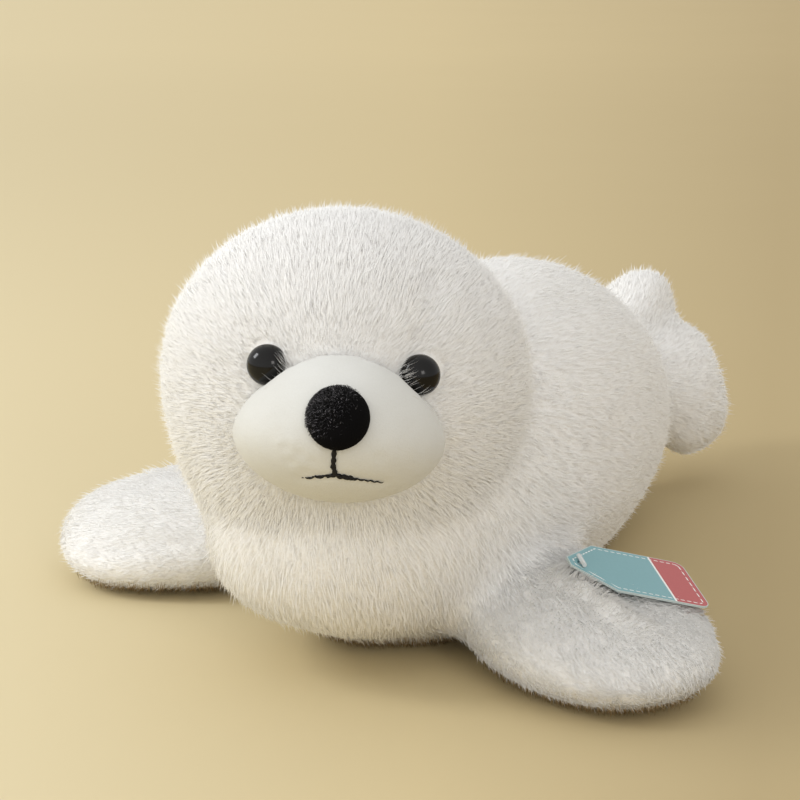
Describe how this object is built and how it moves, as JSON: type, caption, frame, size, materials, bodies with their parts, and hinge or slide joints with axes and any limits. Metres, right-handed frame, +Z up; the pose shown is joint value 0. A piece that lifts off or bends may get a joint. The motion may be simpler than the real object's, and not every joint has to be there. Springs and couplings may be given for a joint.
{
  "type": "plush seal",
  "caption": "Stuffed white seal pup lying on its belly with its head up and its flippers spread, with a hang tag pinned to a front flipper.",
  "frame": {"origin": "on the floor, on the flat that the belly rests on, below the neck", "axes": "+Z up, -Y the way the chest points, +Y to the hind flippers, +X to the seal's left"},
  "size_m": [0.3556, 0.4702, 0.197],
  "materials": {
    "white_pile": "long soft pile",
    "short_pile": "short smooth pile",
    "black_velvet": "velvet",
    "black_thread": "matte thread",
    "black_gloss": "polished",
    "white_washer": "moulded",
    "tag_card": "coated card",
    "clear_pin": "clear moulded"
  },
  "bodies": {
    "root": {"body": "white_pile", "head": "white_pile", "left_front_flipper": "white_pile", "right_front_flipper": "white_pile", "left_hind_flipper": "white_pile", "right_hind_flipper": "white_pile", "muzzle": "short_pile", "nose": "black_velvet", "mouth_stitch": "black_thread", "lip_stitch": "black_thread", "left_eye": "black_gloss", "right_eye": "black_gloss", "left_eye_washer": "white_washer", "right_eye_washer": "white_washer", "hang_tag": "tag_card", "tag_pin": "clear_pin"}
  },
  "joints": []
}
